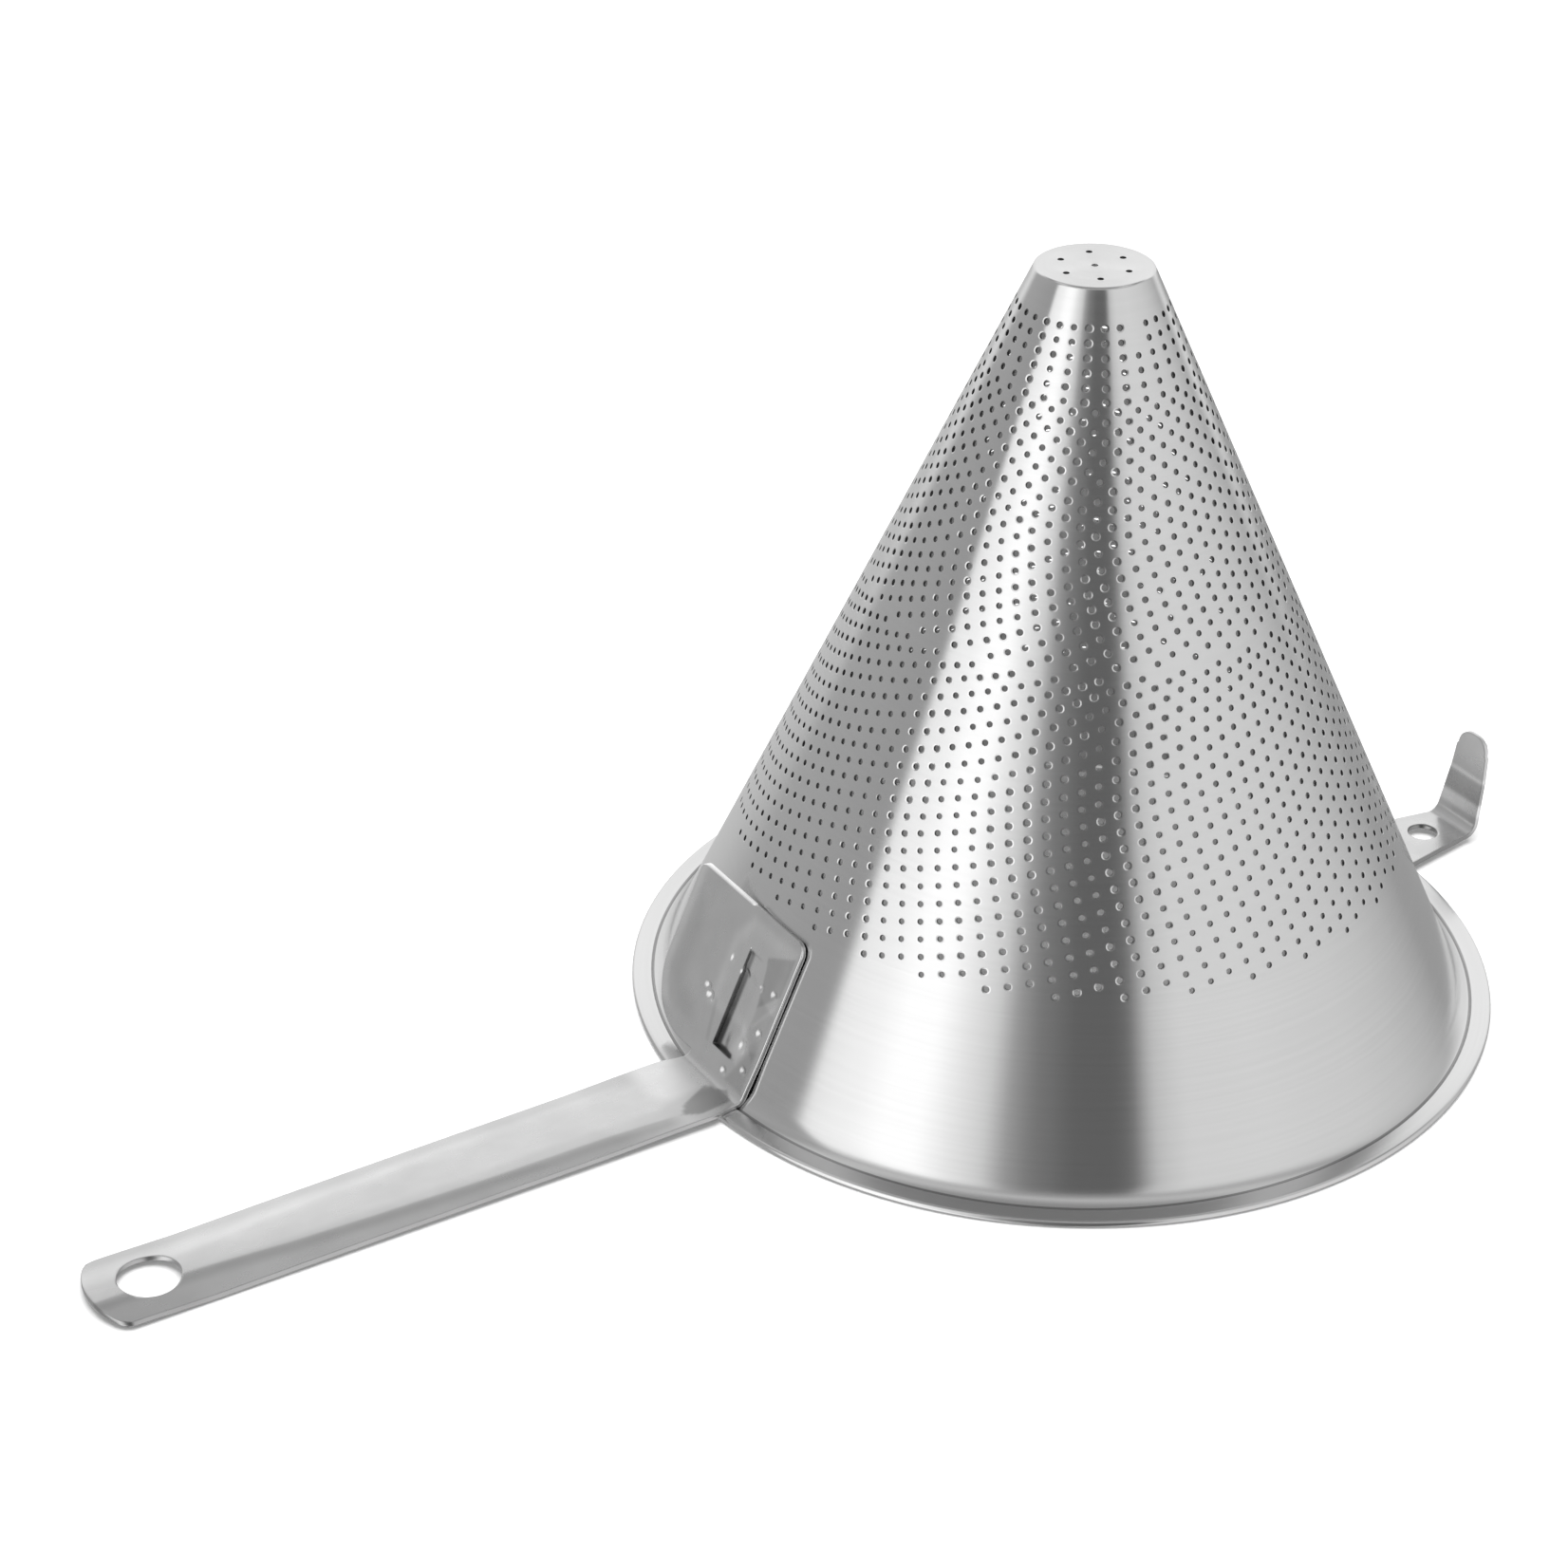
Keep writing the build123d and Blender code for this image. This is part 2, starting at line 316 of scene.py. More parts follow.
class Sheet:
    """Patches of a steel surface, kept as arrays until they are joined into one mesh."""

    def __init__(self):
        self.points, self.marks, self.faces, self.sides, self.count = [], [], [], [], 0

    def add(self, points, marks, faces, side=0):
        """One patch: its points, each point's mark (its distance along the sheet, its turn), its
        faces, and the side of the leaning wall that they lie on: 1 outer, -1 inner, 0 neither, 2 for
        the sheared wall of a hole, and 3 for the groove at the wall's foot."""
        self.points.append(points.reshape(-1, 3))
        self.marks.append(marks.reshape(-1, 2))
        self.faces.append(faces.reshape(-1, 4) + self.count)
        self.sides.append(np.full(faces.size // 4, side))
        self.count += points.size // 3

    def add_both(self, turn, slant, faces):
        """A plain patch of the wall, on both faces of the sheet."""
        marks = stacked(slant * mm, turn / (2 * np.pi))
        self.add(on_wall(turn, slant, 0), marks, faces, 1)
        self.add(on_wall(turn, slant, sheet), marks, faces[..., ::-1], -1)

    def join(self, name, material):
        """The piece of all patches, with points that lie together made one. The corners of faces on
        the wall get the wall's own normal, which leans up by the wall's lean at the corner's turn."""
        kinds = (self.points, self.marks, self.faces, self.sides)
        points, marks, faces, sides = (np.concatenate(kind) for kind in kinds)
        first, place = one_of_each(points, weld_step)
        # The holes' walls and the groove at the wall's foot get their painted shade here
        tones = np.select([sides == 2, sides == 3], [hole_wall_painted_shade, groove_painted_shade], 1)
        piece = steel_piece(name, points[first], place[faces], cone_crease, material, "FACE", tones)
        layer = piece.data.uv_layers.new(name="sheet")
        layer.data.foreach_set("uv", marks[faces].astype(np.float32).ravel())
        normals = np.empty(faces.size * 3, dtype=np.float32)
        piece.data.corner_normals.foreach_get("vector", normals)
        normals = normals.reshape(-1, 3)
        side = np.repeat(sides, 4)[:, None]
        turn = marks[faces].reshape(-1, 2)[:, 1] * 2 * np.pi
        out = np.cos(wall_lean)
        wall = stacked(out * np.cos(turn), out * np.sin(turn), np.sin(wall_lean))
        piece.data.normals_split_custom_set(np.where(abs(side) == 1, side * wall, normals).tolist())
        return piece


def grid_faces(rows, columns, closed=False):
    """The faces of a grid of points, row by row, with its last column joined to its first if closed."""
    spots = np.arange(rows * columns).reshape(rows, columns)
    if closed:
        spots = np.concatenate([spots, spots[:, :1]], axis=1)
    return np.stack([spots[:-1, :-1], spots[1:, :-1], spots[1:, 1:], spots[:-1, 1:]], axis=-1)


def add_lathe(target, profile, phase, side=0):
    """A profile of (radius, height) points carried once round the axis from a starting turn."""
    radius, height = np.array(profile, dtype=float).T
    along = np.concatenate([[0], np.cumsum(np.hypot(np.diff(radius), np.diff(height)))])
    turn = phase + np.linspace(0, 2 * np.pi, around + 1)
    points = stacked(radius[:, None] * np.cos(turn), radius[:, None] * np.sin(turn), height[:, None])
    marks = stacked(along[:, None] * mm, turn / (2 * np.pi))
    target.add(points, marks, grid_faces(len(profile), around + 1), side)


def zone_phase(slant_share, columns):
    """The turn of the first point on a zone's level edge."""
    shift = wander(slant_share * rim_radius) - (columns - 1) / columns - 0.5 / columns
    return strip_start + strip_turn * shift


def add_band(target, high_share, high_columns, low_share, low_columns):
    """A plain band of the wall between the level edges of two zones, whose points don't lie under
    each other. Each upper point is joined to the lower point nearest under it."""
    high_phase, low_phase = zone_phase(high_share, high_columns), zone_phase(low_share, low_columns)
    count = np.arange(around + 1)
    offset = round((high_phase - low_phase) / ring_step)
    turn = np.stack([high_phase + ring_step * count, low_phase + ring_step * (count + offset)])
    slant = np.array([[high_share], [low_share]]) * rim_radius + 0 * turn
    target.add_both(turn, slant, grid_faces(2, around + 1))


def add_plain(target, turn, slant):
    """Unpunched cells on both faces: each cell's own grid of points. The arrays have the cells
    first, then the rows down the wall, then the points across."""
    cells, rows, columns = turn.shape
    starts = np.arange(cells) * rows * columns
    target.add_both(turn, slant, grid_faces(rows, columns)[None] + starts[:, None, None, None])


def uneven(waves, row, strip, column):
    """A share between -1 and 1 for each hole: the sine of its row, strip and column, each times its
    wave."""
    return np.sin(waves[0] * row + waves[1] * strip + waves[2] * column)


def add_punched(target, place, turn, slant, centre_turn, centre_slant, spin, depth, size):
    """Punched cells. From each cell's edge the outer face runs to a ring where the dimple starts,
    down the dimple to the hole's edge, through the sheet, and back to the cell's edge on the inner
    face. Each ring's points stand halfway between even spacing and the line to their edge point."""
    edge = turn.shape[1]
    lateral = spin * (turn - centre_turn[:, None])
    down = slant - centre_slant[:, None]
    even = np.radians(-135) + 2 * np.pi * np.arange(edge) / edge
    swing = np.arctan2(down, lateral) - even
    angle = even + (swing - 2 * np.pi * np.round(swing / (2 * np.pi))) / 2
    rings = [(turn, slant, 0 * slant)]
    for radius, under in ((dimple_radius, 0), (punch_radius, 1), (burr_radius, None)):
        reach = radius * (size if under != 0 else 1 + 0 * size)
        level = sheet + 0 * depth if under is None else under * depth
        rings.append((
            centre_turn[:, None] + reach[:, None] * np.cos(angle) / spin,
            centre_slant[:, None] + reach[:, None] * np.sin(angle),
            level[:, None] + 0 * angle,
        ))
    rings.append((turn, slant, sheet + 0 * slant))
    turns, slants, depths = (np.stack(parts, axis=1) for parts in zip(*rings))
    marks = stacked(slants * mm, turns / (2 * np.pi))
    points = place(turns, slants, depths)
    on_lean = place is on_wall
    starts = (np.arange(len(turn)) * 2 * edge)[:, None, None, None]
    faces = grid_faces(2, edge, closed=True)[None] + starts
    for start, side in ((0, int(on_lean)), (1, 0), (2, 2), (3, -int(on_lean))):
        target.add(points[:, start:start + 2], marks[:, start:start + 2], faces, side)


def cell_edge(across, along):
    """Shares of a cell's width and height at the points round its edge, from its first corner."""
    right_way = np.arange(across) / across
    down_way = np.arange(along) / along
    share_across = np.concatenate([right_way, 1 + 0 * down_way, 1 - right_way, 0 * down_way])
    share_along = np.concatenate([0 * right_way, down_way, 1 + 0 * right_way, 1 - down_way])
    return share_across, share_along


def punch_zone(target, rows, slants, row_count, columns, along, missed=()):
    """One zone of the wall: in each strip one, two or three columns of cells, each column lower
    than its neighbour by an even share of a row. Plain cells fill the ends of the columns and the
    places, by row and strip, that the punch missed."""
    across = segments // columns
    width = 1 / columns
    share_across, share_along = cell_edge(across, along)
    strip = np.arange(strips)
    last = rows[-1]
    for column in range(columns):
        shift = column / columns
        side = -column * width
        count = row_count if column == 0 else int(last + 0.5 - shift)
        row, number = (part.ravel() for part in np.meshgrid(np.arange(count), strip, indexing="ij"))
        centre_slant = np.interp(row + shift, rows, slants) * rim_radius
        centre_turn = strip_start + strip_turn * (number + wander(centre_slant) + side)
        step = row[:, None] + shift - 0.5 + share_along
        slant = np.interp(step, rows, slants) * rim_radius
        across_turn = side + (share_across - 0.5) * width
        turn = strip_start + strip_turn * (number[:, None] + wander(slant) + across_turn)
        low, high = slant.min(axis=1) + dimple_radius, slant.max(axis=1) - dimple_radius
        centre_slant = np.clip(centre_slant, low, np.maximum(low, high))
        spin = (centre_slant * np.sin(wall_lean))[:, None]
        depth = dimple_depth * (1 + depth_spread * uneven(depth_waves, row, number, column))
        size = 1 + size_spread * uneven(size_waves, row, number, column)
        keep = ~np.isin(row * strips + number, [place[0] * strips + place[1] for place in missed])
        add_punched(target, on_wall, turn[keep], slant[keep], centre_turn[keep], centre_slant[keep],
                    spin[keep], depth[keep], size[keep])
        spans = [(place[0] - 0.5 + shift, place[0] + 0.5 + shift, [place[1]]) for place in missed]
        if shift > 0:
            spans.append((rows[0], rows[0] + shift, strip))
        if count - 0.5 + shift < last:
            spans.append((count - 0.5 + shift, last, strip))
        for start, end, where in spans:
            steps = np.linspace(start, end, round((end - start) * along) + 1)
            spread = np.linspace(-width / 2, width / 2, across + 1)
            level = np.interp(steps, rows, slants) * rim_radius
            plain_slant = level[None, :, None] + np.zeros((len(where), 1, across + 1))
            plain_turn = strip_start + strip_turn * (
                np.array(where)[:, None, None] + wander(plain_slant) + side + spread[None, None, :])
            add_plain(target, plain_turn, plain_slant)


def arc_points(centre, radius, start, end, count=24):
    """Points along a round corner, from one angle to another in degrees."""
    angle = np.radians(np.linspace(start, end, count))
    return [(centre[0] + radius * math.cos(a), centre[1] + radius * math.sin(a)) for a in angle]


def wall_point(slant, depth=0):
    """The radius and height of a point on the wall."""
    radius, _, height = on_wall(np.zeros(1), np.array([slant]), depth)[0]
    return radius, height


def brushed_steel(name, values, find_place, rough, tint, scratch, strength, height):
    """Bare steel whose roughness, tint and scratches each follow a noise, given as its scale, its
    detail, and the low and high values that it is brought between. The tint is also multiplied by
    the piece's attribute "tone". The scratches have a strength and a height in metres."""
    steel, surface = new_finish(name, {"Metallic": 1, **values})
    tree = steel.node_tree
    place = find_place(tree, surface)

    def levels(scale, detail, low, high):
        """A noise at the stretched place, brought between a low and a high value."""
        stretched = add_node(tree, "Mapping", {"Vector": place, "Scale": scale}).outputs["Vector"]
        noise = add_node(tree, "TexNoise", {"Vector": stretched, "Scale": 1, "Detail": detail})
        span = {"From Min": 0.3, "From Max": 0.7, "To Min": low, "To Max": high}
        return add_node(tree, "MapRange", {"Value": noise.outputs["Fac"], **span}).outputs["Result"]

    own_tone = add_node(tree, "Attribute", attribute_name="tone").outputs["Fac"]
    toned = add_node(tree, "Math", {0: own_tone, 1: levels(*tint)}, operation="MULTIPLY").outputs[0]
    shade = add_node(tree, "CombineColor", {"Red": toned, "Green": toned, "Blue": toned})
    bump = add_node(tree, "Bump", {"Height": levels(*scratch), "Strength": strength, "Distance": height})
    tree.links.new(levels(*rough), surface.inputs["Roughness"])
    tree.links.new(shade.outputs["Color"], surface.inputs["Base Color"])
    tree.links.new(bump.outputs["Normal"], surface.inputs["Normal"])
    return steel


def brushed_round(tree, surface):
    """The place for grain that runs round the cone: across and along from the object, and the third
    way the distance along the sheet. The brushing's direction is the surface's tangent."""
    tangent = add_node(tree, "Tangent", direction_type="UV_MAP", uv_map="sheet")
    tree.links.new(tangent.outputs["Tangent"], surface.inputs["Tangent"])
    own = add_node(tree, "SeparateXYZ", {"Vector": add_node(tree, "TexCoord").outputs["Object"]})
    sheet_map = add_node(tree, "UVMap", uv_map="sheet").outputs["UV"]
    down = add_node(tree, "SeparateXYZ", {"Vector": sheet_map}).outputs["X"]
    inputs = {"X": own.outputs["X"], "Y": own.outputs["Y"], "Z": down}
    return add_node(tree, "CombineXYZ", inputs).outputs["Vector"]


cone_steel = brushed_steel(
    "brushed_cone_steel", {"Anisotropic": 0.9}, brushed_round, strength=0.08, height=0.00002,
    rough=((9, 9, 1600), 3, 0.16, 0.19), tint=((14, 14, 900), 2, 0.69, 0.71),
    scratch=((12, 12, 2600), 2, 0, 1))

upper_wall = Sheet()
disc_inner = 2.6
disc_outer = 13.2
tip_holes = 6
tip_step = 2 * math.pi / tip_holes
tip_ring = 0.6 * tip_radius
tip_turn = math.radians(3)
turn_back = math.pi / 2 - wall_lean
round_run = tip_round * math.tan(turn_back / 2)
round_centre = (tip_radius - round_run, cone_height - tip_round)
top_slant = few_slants[0] * rim_radius
top_phase = zone_phase(few_slants[0], 1)
tip_slant = (apex - cone_height) / math.cos(wall_lean) + round_run
inner_slant = (apex - (cone_height - sheet) - sheet * math.sin(wall_lean)) / math.cos(wall_lean)
tip_edge = arc_points(round_centre, tip_round, 90, math.degrees(wall_lean), 8)
outer_band = [wall_point(slant) for slant in np.linspace(tip_slant, top_slant, 6)[1:]]
inner_band = [wall_point(slant, sheet) for slant in np.linspace(top_slant, inner_slant, 6)]
add_lathe(upper_wall, [(disc_outer, cone_height)] + tip_edge + outer_band, top_phase)
add_lathe(upper_wall, inner_band + [(disc_outer, cone_height - sheet)], top_phase)
centre_hole = [(disc_inner, cone_height - sheet), (burr_radius, cone_height - sheet),
               (punch_radius, cone_height - dimple_depth), (dimple_radius, cone_height),
               (disc_inner, cone_height)]
add_lathe(upper_wall, centre_hole, top_phase)
share_across, share_along = cell_edge(around // tip_holes, 8)
sector = np.arange(tip_holes)
level = 0.0 * sector
sector_steps = np.round((tip_turn + tip_step * (sector - 0.5) - top_phase) / ring_step)
disc_turn = (top_phase + ring_step * sector_steps)[:, None] + share_across * tip_step
disc_reach = disc_inner + share_along * (disc_outer - disc_inner) + 0 * disc_turn
add_punched(upper_wall, on_tip, disc_turn, disc_reach, tip_turn + tip_step * sector, tip_ring + level,
            np.full((tip_holes, 1), tip_ring), dimple_depth + level, 1 + level)
punch_zone(upper_wall, few_rows, few_slants, 5, 1, 3, missed=((0, 26), (1, 26)))
add_band(upper_wall, few_slants[-1], 1, some_slants[0], 2)
punch_zone(upper_wall, some_rows, some_slants, 16, 2, 4)
add_band(upper_wall, some_slants[-1], 2, many_slants[0], 3)
cone_upper = upper_wall.join("cone_upper", cone_steel)

lower_wall = Sheet()
punch_zone(lower_wall, many_rows, many_slants, 19, 3, 3)
low_slant = many_slants[-1] * rim_radius
low_phase = zone_phase(many_slants[-1], 3)

# Above the flange the wall flares out in a wide arc, which meets the flange in a groove whose faces are
# painted darker, painted shade. The flange's edge is folded round, and its flat end and the slit over it
# are closed by small runs.
fold = hem_height / 2
fold_run = 0.8
hem_edge = 0.25
slit_run = 0.1
flare_start = 180 + math.degrees(wall_lean)
flare_end = flare_start + flare_turn
flare_height = hem_height - flare_radius * math.sin(math.radians(flare_end))
flare_slant = (apex - flare_height + flare_radius * math.sin(wall_lean)) / math.cos(wall_lean)
flare_centre = (wall_point(flare_slant)[0] + flare_radius * math.cos(wall_lean), flare_height)
inner_flare = flare_radius + sheet
inner_end = 180 + math.degrees(math.asin((flare_height - slit_roof) / inner_flare))
flare = ([wall_point(slant) for slant in np.linspace(low_slant, flare_slant, 12)]
         + arc_points(flare_centre, flare_radius, flare_start, flare_end, 20)[1:])
groove_start = flare[-1][0]
groove_end = groove_start + groove_width
groove = [flare[-1], (groove_start + groove_width / 2, hem_height - groove_depth), (groove_end, hem_height)]
slit_end = rim_radius - sheet - slit_run
hem_end = rim_radius - hem_width
hem = (
    [groove[-1], (rim_radius - fold - fold_run, hem_height)]
    + arc_points((rim_radius - fold, fold), fold, 90, -90, 19)
    + [(hem_end + hem_edge, 0)]
    + arc_points((hem_end + hem_edge, hem_edge), hem_edge, 270, 180, 4)[1:]
    + [(hem_end, sheet), (slit_end, sheet), (slit_end, slit_roof)]
    + arc_points(flare_centre, inner_flare, inner_end, flare_start, 20)
    + [wall_point(slant, sheet) for slant in np.linspace(flare_slant, low_slant, 12)[1:]]
)
add_lathe(lower_wall, flare, low_phase)
add_lathe(lower_wall, groove, low_phase, 3)
add_lathe(lower_wall, hem, low_phase)
cone_lower = lower_wall.join("cone_lower", cone_steel)
for piece in (cone_upper, cone_lower):
    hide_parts("cone_body")
    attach(piece, "root")

# The handle: one strip of thicker steel, cut flat and then folded, its long edges down and its root
# up into a tab that leans on the cone. A hanging hole is punched near its rounded end, a tongue is
# pressed into the tab, and spot welds hold the tab on the wall.
handle_sheet = 1.5
foot_round = 3.5
bend_clearance = 0.5
handle_reach = axis_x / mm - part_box("handle")[0].x / mm
strip_root_half = 14.8
strip_end_half = 13.9
strip_taper = 8.0
end_arc = 23.0
end_corner = 5.0
end_block = 7.5
hanging_radius = 8.0
hanging_inset = 16.1
hanging_block = 9.4
tab_near = 13.5
tab_far = 38.0
tab_top = 47.9
near_corner = 4.0
far_corner = 2.5
wing_round = 18.0
top_block = 5.4
edge_round = 0.3
round_share = 0.29
blank_step = 0.01
handle_crease = 50

# The top of the tab's far side is ground level: how much of it, over what rise, and where it ends
# across. The near side follows the wall from the bend up.
top_level = 0.7
top_run = 3.0
top_end = (-12, -10)
wall_curve = 420.0
wall_run = 12.0

# The folds of the strip: where the crease lies from the middle, how far the edges slope down, and
# how softly they do it, at distances from the cone's axis
crease_reaches = (128, 150, 185, 215, 240, 262, 280)
crease_halves = (10.5, 9.2, 8.9, 7.8, 6.6, 4.6, 4.0)
crease_degrees = (0.0, 6.0, 7.5, 8.0, 8.5, 8.5, 5.5)
crease_softness = 1.5

# The tongue that is pressed into the tab: its left side and foot are cut, its right side is not
tongue_left = -6.0
tongue_foot = 8.5
tongue_top = 37.0
tongue_step = 31.0
tongue_right = 2.6
tongue_depth = 1.4
tongue_cut = 0.12
cut_side = (tongue_left - tongue_cut / 2, tongue_left + tongue_cut / 2)
cut_foot = (tongue_foot - tongue_cut / 2, tongue_foot + tongue_cut / 2)
tongue_flat = 3.0
tongue_past = 4.0
step_rise = 0.6
step_half = 2.2
top_before, top_after = 1.6, 0.8

foot_corner = foot_radius - math.tan(wall_lean) * hem_height
bend_inner = foot_round + bend_clearance
bend_outer = bend_inner - handle_sheet
bend_length = bend_outer * turn_back
tab_low = bend_inner * math.tan(turn_back / 2)
bend_reach = foot_corner + tab_low


def soft_over(value, softness):
    """How far a value is over nought, rounded off round nought by the softness."""
    return (np.sqrt(value**2 + softness**2) + value) / 2


def ramp_to(value, start, end):
    """Nought up to the start, one from the end on, and a smooth change between them."""
    share = np.clip((value - start) / (end - start), 0, 1)
    return share * share * (3 - 2 * share)


def between(value, start, end, fade=1):
    """One from the start's end to the end's start, nought before, and less by the fade after."""
    return ramp_to(value, *start) * (1 - fade * ramp_to(value, *end))


def fold_drop(reach, across):
    """How far the strip's edges lie under its middle: the fold's slope times the distance past the
    crease, rounded off at the crease, and nought in the middle."""
    crease = np.interp(reach, crease_reaches, crease_halves)
    slope = np.tan(np.radians(np.interp(reach, crease_reaches, crease_degrees)))
    return slope * (soft_over(abs(across) - crease, crease_softness) - soft_over(-crease, crease_softness))


def folded(along, across, depth):
    """The point of the folded handle, from the flat blank's distances along it and across it and a
    depth under its outer face. Before the bend the sheet lies level and its edges drop by the fold.
    In the bend it turns round a line inside the corner, and past it it leans with the wall, which its
    near side follows by the square of the distance across over twice the wall's radius. The top of
    the far side is ground level, so there the outer face ends lower."""
    on_strip = np.minimum(along, 0)
    turn = np.clip(along, 0, bend_length) / bend_outer
    on_tab = np.maximum(along - bend_length, 0)
    ground = ramp_to(on_tab + tab_low, tab_top - top_run, tab_top) * (1 - ramp_to(across, *top_end))
    on_tab = on_tab - top_level * (1 - depth / handle_sheet) * ground
    inwards = np.maximum(across, 0) ** 2 / wall_curve * ramp_to(on_tab, 0, wall_run)
    radius = bend_outer + depth + inwards
    reach = bend_reach - on_strip - radius * np.sin(turn) - on_tab * np.cos(turn)
    height = hem_height + bend_inner - radius * np.cos(turn) + on_tab * np.sin(turn)
    height = height - np.where(along < 0, fold_drop(bend_reach - on_strip, across), 0)
    return stacked(-reach, -across, height)


def to_tab(rise):
    """The blank's distance along at a rise up the tab from the foot's corner."""
    return rise - tab_low + bend_length


def dent(across, rise, place, reach, depth, stretch):
    """A round dent: its depth falls off as the square of one less the square of the distance."""
    far = ((across - place[0]) / stretch[0]) ** 2 + ((rise - place[1]) / stretch[1]) ** 2
    return depth * np.clip(1 - far / reach**2, 0, None) ** 2


def facet(across, rise, corners, soft):
    """One inside a convex outline whose corners go anticlockwise, nought outside, soft at its edge."""
    inside = np.full(np.shape(across), np.inf)
    for start, end in zip(corners, corners[1:] + corners[:1]):
        run, climb = end[0] - start[0], end[1] - start[1]
        reach = (run * (rise - start[1]) - climb * (across - start[0])) / math.hypot(run, climb)
        inside = np.minimum(inside, reach)
    return ramp_to(inside, -soft, soft)


# The tab's dents: where they lie across the tab and up it, their reach and depth, and how they are
# stretched. The first five are weld spots, and the one whose depth is under nought is raised.
tab_dents = (
    ((9.5, 31.2), 1.6, 0.6, (1, 1)), ((9.8, 19.8), 1.6, 0.6, (1, 1)), ((9.5, 8.5), 1.6, 0.6, (1, 1)),
    ((2.2, 4.6), 1.6, 0.6, (1, 1)), ((3.6, 30.3), 1.6, 0.6, (1, 1)), ((-16.5, 20.4), 1.8, 0.8, (1, 1)),
    ((-14.2, 18.6), 2.2, 0.9, (1, 1)), ((-0.2, 12.0), 3.4, -0.35, (1, 1.3)),
    ((5.4, 13.6), 2.4, 0.8, (1, 1.4)), ((-11.2, 31.5), 1.3, 0.4, (1, 1.6)),
    ((-5.2, 30.2), 1.6, 0.5, (1.2, 1)),
)


def tab_relief(along, across):
    """The depth of the tab's pressed forms: the tongue is deepest at its cut side and foot and comes
    up to the plate on its right, a step makes its upper end shallower, and the dents are added."""
    rise = along - bend_length + tab_low
    level = tongue_depth - step_rise * ramp_to(rise, tongue_step - step_half, tongue_step + step_half)
    level = level * (1 - ramp_to(rise, tongue_top - top_before, tongue_top + top_after))
    plate = (tongue_left + tongue_flat, tongue_right + tongue_past)
    depth = level * between(across, cut_side, plate) * ramp_to(rise, *cut_foot)
    for place, reach, deep, stretch in tab_dents:
        depth = depth + dent(across, rise, place, reach, deep, stretch)
    return np.minimum(depth, tongue_depth)


# Patches of the tab painted darker or lighter than the plate, painted shade and highlights where it
# reflects darker or brighter things: how much, how soft their edge is, and their corners, across the tab
# and up it
painted_shade_and_highlight_patches = (
    (-0.26, 0.5, [(2, 38.5), (5, 25), (12, 32), (12, 43)]),
    (-0.16, 0.8, [(5, 17), (11, 12), (12.5, 26), (5.5, 28)]),
    (-0.18, 0.8, [(4, 3), (12, 3), (12, 15), (9, 14)]),
    (-0.12, 0.5, [(-12, 19), (-9.5, 8), (-8, 8), (-10.5, 19)]),
    (0.22, 1.5, [(1, 10.5), (5.5, 9), (8, 16), (3, 18)]),
    (0.10, 0.4, [(5.5, 20), (6.5, 19.5), (12, 28), (12, 30)]),
)
# The lighter pad round the tongue and the brighter border of it, a painted highlight where the edge of a
# shallow raised panel would catch the light: their gains, how soft their edges are, and the outlines of the
# pad and of what lies inside its border
pad_gain, border_painted_highlight = 0.07, 0.08
pad_soft, inside_soft = 1.6, 2.0
pad_corners = [(-14, 17), (12, 17), (12, 45), (-9, 45), (-14, 38)]
inside_corners = [(-11, 19), (9, 19), (9, 41), (-7, 42), (-11, 36)]
# The shade in the tongue's cut, which starts left of it, ends sooner beside it than under it, and
# fades up its side: all between two distances across the tab or up it
shade_gain, shade_fade = 0.75, 0.3
shade_start, shade_side_end, shade_foot_end = (-6.3, -5.8), (-4.8, -3.6), (2.0, 3.0)
shade_fade_run, shade_foot_top, shade_low, shade_high = (14, 31.5), (9.2, 10.0), (8.2, 8.6), (36, 37.5)
# The wing is bright along its outline and duller in a band beside it, by the distance from it
wing_start, wing_low = (16, 22), (6, 10)
wing_edge_gain, wing_edge_run = 0.20, (1.5, 4.5)
band_gain, band_soft, band_corners = 0.10, 3, [(5, 8), (11, 4), (11, 34), (5, 40)]
# The painted dark reflection at the strip's root, as distances from the axis and across, and the painted
# highlight on the root's rest
root_painted_reflection, root_soft = 0.42, 0.5
root_corners = [(114.6, 11.2), (113.0, 7.0), (116.5, 1.2), (125.6, 6.0), (128.4, 10.0), (124, 12.2)]
root_painted_highlight, root_run = 0.25, (0, 5)
# The strip has painted shade past its near crease and on its far side and a painted highlight in the
# middle, and it is darker towards its end
strip_run, end_darkening, end_run = (128, 134), 0.10, (250, 275)
crease_painted_shade, crease_run, crease_fade, crease_fade_run = 0.22, (-1.4, -0.2), 0.75, (1, 4.5)
middle_painted_highlight, middle_across, middle_run = 0.07, -2, (5, 8)
far_side_painted_shade, far_run = 0.10, (9, 12)
tone_limits = (0.1, 1.3)


def tongue_shade(across, rise):
    """How much shade lies in the cut beside the tongue and under it: the larger of the two."""
    side = between(across, shade_start, shade_side_end) * (1 - shade_fade * ramp_to(rise, *shade_fade_run))
    foot = between(across, shade_start, shade_foot_end) * (1 - ramp_to(rise, *shade_foot_top))
    return np.maximum(side, foot) * between(rise, shade_low, shade_high)


def wing_tone(across, rise):
    """The wing's bright edge less its dull band, by the distance inside its outline: its round's
    radius less the distance from the round's middle."""
    below = np.minimum(rise - tab_low - wing_round, 0)
    inside = wing_round - np.hypot(np.minimum(across + tab_far - wing_round, 0), below)
    edge = wing_edge_gain * (1 - ramp_to(inside, *wing_edge_run))
    band = band_gain * facet(inside, rise, band_corners, band_soft)
    return ramp_to(-across, *wing_start) * ramp_to(rise, *wing_low) * (edge - band)


def strip_tone(reach, across):
    """The strip's painted highlight along its middle, less its painted shade past the near crease and on
    its far side.
    """
    past = across - np.interp(reach, crease_reaches, crease_halves)
    crease = between(past, crease_run, crease_fade_run, crease_fade)
    middle = 1 - ramp_to(abs(across - middle_across), *middle_run)
    return middle_painted_highlight * middle - crease_painted_shade * crease - far_side_painted_shade * ramp_to(-across, *far_run)


